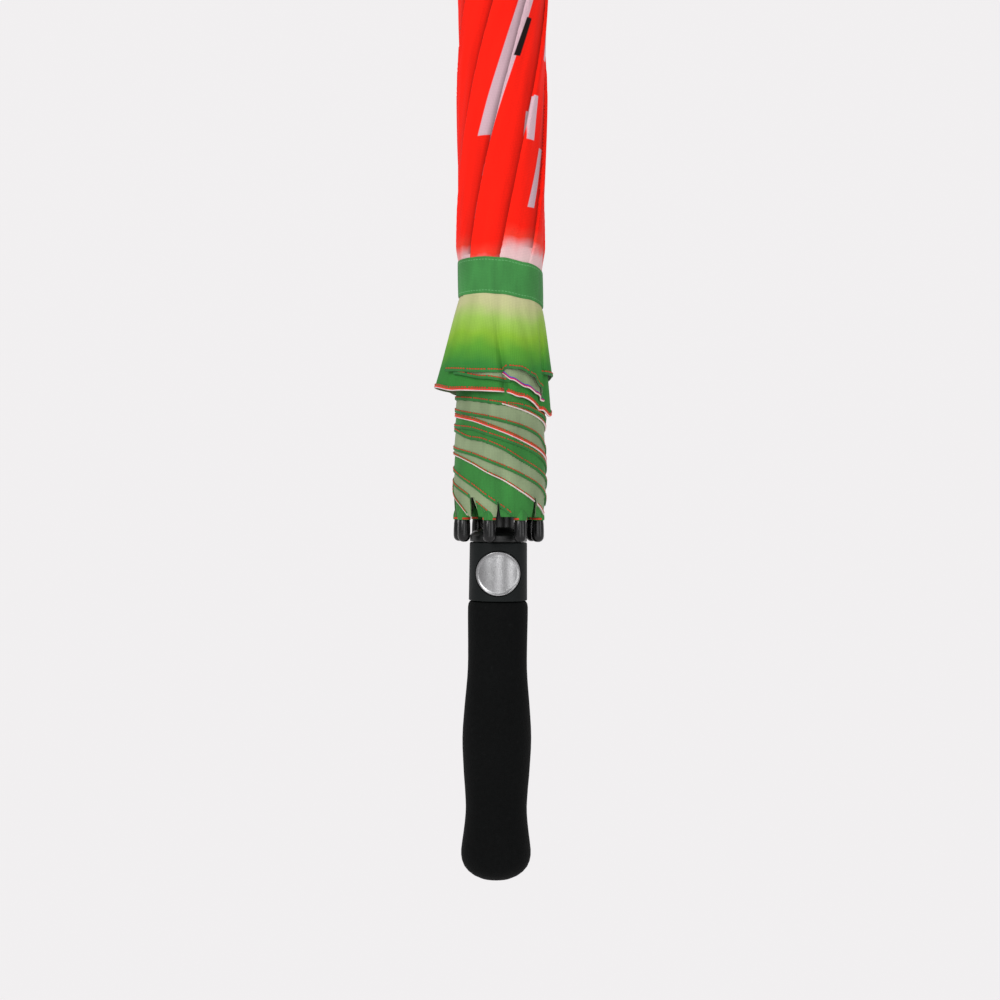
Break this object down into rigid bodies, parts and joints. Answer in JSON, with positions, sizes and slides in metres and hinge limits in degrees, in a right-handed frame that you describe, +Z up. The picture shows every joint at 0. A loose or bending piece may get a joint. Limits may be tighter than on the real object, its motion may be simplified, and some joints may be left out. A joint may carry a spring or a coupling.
{
  "type": "golf umbrella",
  "caption": "Furled stick golf umbrella: ribs and folded stretchers round a slotted shaft, push button and foam grip, red and green canopy held shut by a strap",
  "frame": {"origin": "Lowest point of the grip's rounded end, on the shaft's axis", "axes": "+Z up the shaft towards the ferrule, -Y the way the push button faces, +X to the right of someone looking at the button"},
  "size_m": [0.0652, 0.0652, 1],
  "materials": {
    "shaft_paint": "black satin paint",
    "foam": "matte black closed-cell foam",
    "charcoal_plastic": "matte charcoal, fine grain",
    "gloss_plastic": "glossy black",
    "satin_metal": "satin silver",
    "spring_steel": "drawn wire",
    "stretcher_steel": "black enamel",
    "rib_fibreglass": "black glass-fibre rod",
    "canopy_cloth": "plain woven pongee, red crown shading through pink-white and lime to a green border",
    "strap_cloth": "green woven tape, stitched edges"
  },
  "bodies": {
    "shaft_and_handle": {"shaft": "shaft_paint", "grip": "foam", "grip_core": "charcoal_plastic", "button_collar": "charcoal_plastic", "button_spring": "spring_steel", "opening_spring": "spring_steel", "top_notch": "gloss_plastic", "notch_wire": "spring_steel", "top_washer": "gloss_plastic", "ferrule": "gloss_plastic"},
    "button": {"push_button": "satin_metal", "latch": "spring_steel"},
    "slider": {"runner": "gloss_plastic", "runner_wire": "spring_steel", "runner_pin": "spring_steel", "spring_plunger": "charcoal_plastic"},
    "rib_1_arm": {"rib_1": "rib_fibreglass", "rib_tip_1": "gloss_plastic", "strap": "strap_cloth"},
    "stretcher_1_arm": {"stretcher_1": "stretcher_steel"},
    "cloth_1_left": {"panel_1_left": "canopy_cloth"},
    "cloth_1_right": {"panel_1_right": "canopy_cloth"},
    "rib_2_arm": {"rib_2": "rib_fibreglass", "rib_tip_2": "gloss_plastic"},
    "stretcher_2_arm": {"stretcher_2": "stretcher_steel"},
    "cloth_2_left": {"panel_2_left": "canopy_cloth"},
    "cloth_2_right": {"panel_2_right": "canopy_cloth"},
    "rib_3_arm": {"rib_3": "rib_fibreglass", "rib_tip_3": "gloss_plastic"},
    "stretcher_3_arm": {"stretcher_3": "stretcher_steel"},
    "cloth_3_left": {"panel_3_left": "canopy_cloth"},
    "cloth_3_right": {"panel_3_right": "canopy_cloth"},
    "rib_4_arm": {"rib_4": "rib_fibreglass", "rib_tip_4": "gloss_plastic"},
    "stretcher_4_arm": {"stretcher_4": "stretcher_steel"},
    "cloth_4_left": {"panel_4_left": "canopy_cloth"},
    "cloth_4_right": {"panel_4_right": "canopy_cloth"},
    "rib_5_arm": {"rib_5": "rib_fibreglass", "rib_tip_5": "gloss_plastic"},
    "stretcher_5_arm": {"stretcher_5": "stretcher_steel"},
    "cloth_5_left": {"panel_5_left": "canopy_cloth"},
    "cloth_5_right": {"panel_5_right": "canopy_cloth"},
    "rib_6_arm": {"rib_6": "rib_fibreglass", "rib_tip_6": "gloss_plastic"},
    "stretcher_6_arm": {"stretcher_6": "stretcher_steel"},
    "cloth_6_left": {"panel_6_left": "canopy_cloth"},
    "cloth_6_right": {"panel_6_right": "canopy_cloth"},
    "rib_7_arm": {"rib_7": "rib_fibreglass", "rib_tip_7": "gloss_plastic"},
    "stretcher_7_arm": {"stretcher_7": "stretcher_steel"},
    "cloth_7_left": {"panel_7_left": "canopy_cloth"},
    "cloth_7_right": {"panel_7_right": "canopy_cloth"},
    "rib_8_arm": {"rib_8": "rib_fibreglass", "rib_tip_8": "gloss_plastic"},
    "stretcher_8_arm": {"stretcher_8": "stretcher_steel"},
    "cloth_8_left": {"panel_8_left": "canopy_cloth"},
    "cloth_8_right": {"panel_8_right": "canopy_cloth"}
  },
  "joints": [
    {"name": "button_press", "type": "slide", "parent": "shaft_and_handle", "child": "button", "axis": [0, 1, 0], "range_m": [0, 0.0025], "stiffness_N_per_m": 400, "springref_m": -0.002, "deforming": ["button_spring"]},
    {"name": "rib_1_open", "type": "hinge", "parent": "shaft_and_handle", "child": "rib_1_arm", "pos_m": [-0.00247, -0.01072, 0.9387], "axis": [-0.9744, 0.225, 0], "range_deg": [0, 72], "deforming": ["strap", "opening_spring"]},
    {"name": "stretcher_1_fold", "type": "hinge", "parent": "rib_1_arm", "child": "stretcher_1_arm", "pos_m": [-0.00293, -0.0127, 0.59704], "axis": [-0.9744, 0.225, 0], "range_deg": [-144.01, 0]},
    {"name": "cloth_1_left_spread", "type": "hinge", "parent": "rib_1_arm", "child": "cloth_1_left", "pos_m": [-0.00247, -0.01072, 0.928], "axis": [0.225, 0.9744, 0], "range_deg": [0, 21.3]},
    {"name": "cloth_1_right_spread", "type": "hinge", "parent": "rib_1_arm", "child": "cloth_1_right", "pos_m": [-0.00247, -0.01072, 0.928], "axis": [-0.225, -0.9744, 0], "range_deg": [0, 21.3]},
    {"name": "rib_2_open", "type": "hinge", "parent": "shaft_and_handle", "child": "rib_2_arm", "pos_m": [0.00583, -0.00933, 0.9387], "axis": [-0.848, -0.5299, 0], "range_deg": [0, 72]},
    {"name": "stretcher_2_fold", "type": "hinge", "parent": "rib_2_arm", "child": "stretcher_2_arm", "pos_m": [0.00691, -0.01106, 0.59704], "axis": [-0.848, -0.5299, 0], "range_deg": [-144.01, 0]},
    {"name": "cloth_2_left_spread", "type": "hinge", "parent": "rib_2_arm", "child": "cloth_2_left", "pos_m": [0.00583, -0.00933, 0.928], "axis": [-0.5299, 0.848, 0], "range_deg": [0, 21.3]},
    {"name": "cloth_2_right_spread", "type": "hinge", "parent": "rib_2_arm", "child": "cloth_2_right", "pos_m": [0.00583, -0.00933, 0.928], "axis": [0.5299, -0.848, 0], "range_deg": [0, 21.3]},
    {"name": "rib_3_open", "type": "hinge", "parent": "shaft_and_handle", "child": "rib_3_arm", "pos_m": [0.01072, -0.00247, 0.9387], "axis": [-0.225, -0.9744, 0], "range_deg": [0, 72]},
    {"name": "stretcher_3_fold", "type": "hinge", "parent": "rib_3_arm", "child": "stretcher_3_arm", "pos_m": [0.0127, -0.00293, 0.59704], "axis": [-0.225, -0.9744, 0], "range_deg": [-144.01, 0]},
    {"name": "cloth_3_left_spread", "type": "hinge", "parent": "rib_3_arm", "child": "cloth_3_left", "pos_m": [0.01072, -0.00247, 0.928], "axis": [-0.9744, 0.225, 0], "range_deg": [0, 21.3]},
    {"name": "cloth_3_right_spread", "type": "hinge", "parent": "rib_3_arm", "child": "cloth_3_right", "pos_m": [0.01072, -0.00247, 0.928], "axis": [0.9744, -0.225, 0], "range_deg": [0, 21.3]},
    {"name": "rib_4_open", "type": "hinge", "parent": "shaft_and_handle", "child": "rib_4_arm", "pos_m": [0.00933, 0.00583, 0.9387], "axis": [0.5299, -0.848, 0], "range_deg": [0, 72]},
    {"name": "stretcher_4_fold", "type": "hinge", "parent": "rib_4_arm", "child": "stretcher_4_arm", "pos_m": [0.01106, 0.00691, 0.59704], "axis": [0.5299, -0.848, 0], "range_deg": [-144.01, 0]},
    {"name": "cloth_4_left_spread", "type": "hinge", "parent": "rib_4_arm", "child": "cloth_4_left", "pos_m": [0.00933, 0.00583, 0.928], "axis": [-0.848, -0.5299, 0], "range_deg": [0, 21.3]},
    {"name": "cloth_4_right_spread", "type": "hinge", "parent": "rib_4_arm", "child": "cloth_4_right", "pos_m": [0.00933, 0.00583, 0.928], "axis": [0.848, 0.5299, 0], "range_deg": [0, 21.3]},
    {"name": "rib_5_open", "type": "hinge", "parent": "shaft_and_handle", "child": "rib_5_arm", "pos_m": [0.00247, 0.01072, 0.9387], "axis": [0.9744, -0.225, 0], "range_deg": [0, 72]},
    {"name": "stretcher_5_fold", "type": "hinge", "parent": "rib_5_arm", "child": "stretcher_5_arm", "pos_m": [0.00293, 0.0127, 0.59704], "axis": [0.9744, -0.225, 0], "range_deg": [-144.01, 0]},
    {"name": "cloth_5_left_spread", "type": "hinge", "parent": "rib_5_arm", "child": "cloth_5_left", "pos_m": [0.00247, 0.01072, 0.928], "axis": [-0.225, -0.9744, 0], "range_deg": [0, 21.3]},
    {"name": "cloth_5_right_spread", "type": "hinge", "parent": "rib_5_arm", "child": "cloth_5_right", "pos_m": [0.00247, 0.01072, 0.928], "axis": [0.225, 0.9744, 0], "range_deg": [0, 21.3]},
    {"name": "rib_6_open", "type": "hinge", "parent": "shaft_and_handle", "child": "rib_6_arm", "pos_m": [-0.00583, 0.00933, 0.9387], "axis": [0.848, 0.5299, 0], "range_deg": [0, 72]},
    {"name": "stretcher_6_fold", "type": "hinge", "parent": "rib_6_arm", "child": "stretcher_6_arm", "pos_m": [-0.00691, 0.01106, 0.59704], "axis": [0.848, 0.5299, 0], "range_deg": [-144.01, 0]},
    {"name": "cloth_6_left_spread", "type": "hinge", "parent": "rib_6_arm", "child": "cloth_6_left", "pos_m": [-0.00583, 0.00933, 0.928], "axis": [0.5299, -0.848, 0], "range_deg": [0, 21.3]},
    {"name": "cloth_6_right_spread", "type": "hinge", "parent": "rib_6_arm", "child": "cloth_6_right", "pos_m": [-0.00583, 0.00933, 0.928], "axis": [-0.5299, 0.848, 0], "range_deg": [0, 21.3]},
    {"name": "rib_7_open", "type": "hinge", "parent": "shaft_and_handle", "child": "rib_7_arm", "pos_m": [-0.01072, 0.00247, 0.9387], "axis": [0.225, 0.9744, 0], "range_deg": [0, 72]},
    {"name": "stretcher_7_fold", "type": "hinge", "parent": "rib_7_arm", "child": "stretcher_7_arm", "pos_m": [-0.0127, 0.00293, 0.59704], "axis": [0.225, 0.9744, 0], "range_deg": [-144.01, 0]},
    {"name": "cloth_7_left_spread", "type": "hinge", "parent": "rib_7_arm", "child": "cloth_7_left", "pos_m": [-0.01072, 0.00247, 0.928], "axis": [0.9744, -0.225, 0], "range_deg": [0, 21.3]},
    {"name": "cloth_7_right_spread", "type": "hinge", "parent": "rib_7_arm", "child": "cloth_7_right", "pos_m": [-0.01072, 0.00247, 0.928], "axis": [-0.9744, 0.225, 0], "range_deg": [0, 21.3]},
    {"name": "rib_8_open", "type": "hinge", "parent": "shaft_and_handle", "child": "rib_8_arm", "pos_m": [-0.00933, -0.00583, 0.9387], "axis": [-0.5299, 0.848, 0], "range_deg": [0, 72]},
    {"name": "stretcher_8_fold", "type": "hinge", "parent": "rib_8_arm", "child": "stretcher_8_arm", "pos_m": [-0.01106, -0.00691, 0.59704], "axis": [-0.5299, 0.848, 0], "range_deg": [-144.01, 0]},
    {"name": "cloth_8_left_spread", "type": "hinge", "parent": "rib_8_arm", "child": "cloth_8_left", "pos_m": [-0.00933, -0.00583, 0.928], "axis": [0.848, 0.5299, 0], "range_deg": [0, 21.3]},
    {"name": "cloth_8_right_spread", "type": "hinge", "parent": "rib_8_arm", "child": "cloth_8_right", "pos_m": [-0.00933, -0.00583, 0.928], "axis": [-0.848, -0.5299, 0], "range_deg": [0, 21.3]},
    {"name": "runner_slide", "type": "hinge", "parent": "stretcher_1_arm", "child": "slider", "pos_m": [-0.00247, -0.01072, 0.25538], "axis": [-0.9744, 0.225, 0], "range_deg": [0, 72.01]}
  ],
  "couplings": [
    {"joint": "stretcher_1_fold", "follows": "rib_1_open", "ratio": -2},
    {"joint": "cloth_1_left_spread", "follows": "rib_1_open", "ratio": 0.29514},
    {"joint": "cloth_1_right_spread", "follows": "rib_1_open", "ratio": 0.29514},
    {"joint": "stretcher_2_fold", "follows": "rib_1_open", "ratio": -2},
    {"joint": "rib_2_open", "follows": "rib_1_open", "ratio": 1},
    {"joint": "cloth_2_left_spread", "follows": "rib_1_open", "ratio": 0.29514},
    {"joint": "cloth_2_right_spread", "follows": "rib_1_open", "ratio": 0.29514},
    {"joint": "stretcher_3_fold", "follows": "rib_1_open", "ratio": -2},
    {"joint": "rib_3_open", "follows": "rib_1_open", "ratio": 1},
    {"joint": "cloth_3_left_spread", "follows": "rib_1_open", "ratio": 0.29514},
    {"joint": "cloth_3_right_spread", "follows": "rib_1_open", "ratio": 0.29514},
    {"joint": "stretcher_4_fold", "follows": "rib_1_open", "ratio": -2},
    {"joint": "rib_4_open", "follows": "rib_1_open", "ratio": 1},
    {"joint": "cloth_4_left_spread", "follows": "rib_1_open", "ratio": 0.29514},
    {"joint": "cloth_4_right_spread", "follows": "rib_1_open", "ratio": 0.29514},
    {"joint": "stretcher_5_fold", "follows": "rib_1_open", "ratio": -2},
    {"joint": "rib_5_open", "follows": "rib_1_open", "ratio": 1},
    {"joint": "cloth_5_left_spread", "follows": "rib_1_open", "ratio": 0.29514},
    {"joint": "cloth_5_right_spread", "follows": "rib_1_open", "ratio": 0.29514},
    {"joint": "stretcher_6_fold", "follows": "rib_1_open", "ratio": -2},
    {"joint": "rib_6_open", "follows": "rib_1_open", "ratio": 1},
    {"joint": "cloth_6_left_spread", "follows": "rib_1_open", "ratio": 0.29514},
    {"joint": "cloth_6_right_spread", "follows": "rib_1_open", "ratio": 0.29514},
    {"joint": "stretcher_7_fold", "follows": "rib_1_open", "ratio": -2},
    {"joint": "rib_7_open", "follows": "rib_1_open", "ratio": 1},
    {"joint": "cloth_7_left_spread", "follows": "rib_1_open", "ratio": 0.29514},
    {"joint": "cloth_7_right_spread", "follows": "rib_1_open", "ratio": 0.29514},
    {"joint": "stretcher_8_fold", "follows": "rib_1_open", "ratio": -2},
    {"joint": "rib_8_open", "follows": "rib_1_open", "ratio": 1},
    {"joint": "cloth_8_left_spread", "follows": "rib_1_open", "ratio": 0.29514},
    {"joint": "cloth_8_right_spread", "follows": "rib_1_open", "ratio": 0.29514},
    {"joint": "runner_slide", "follows": "rib_1_open", "ratio": 1}
  ]
}
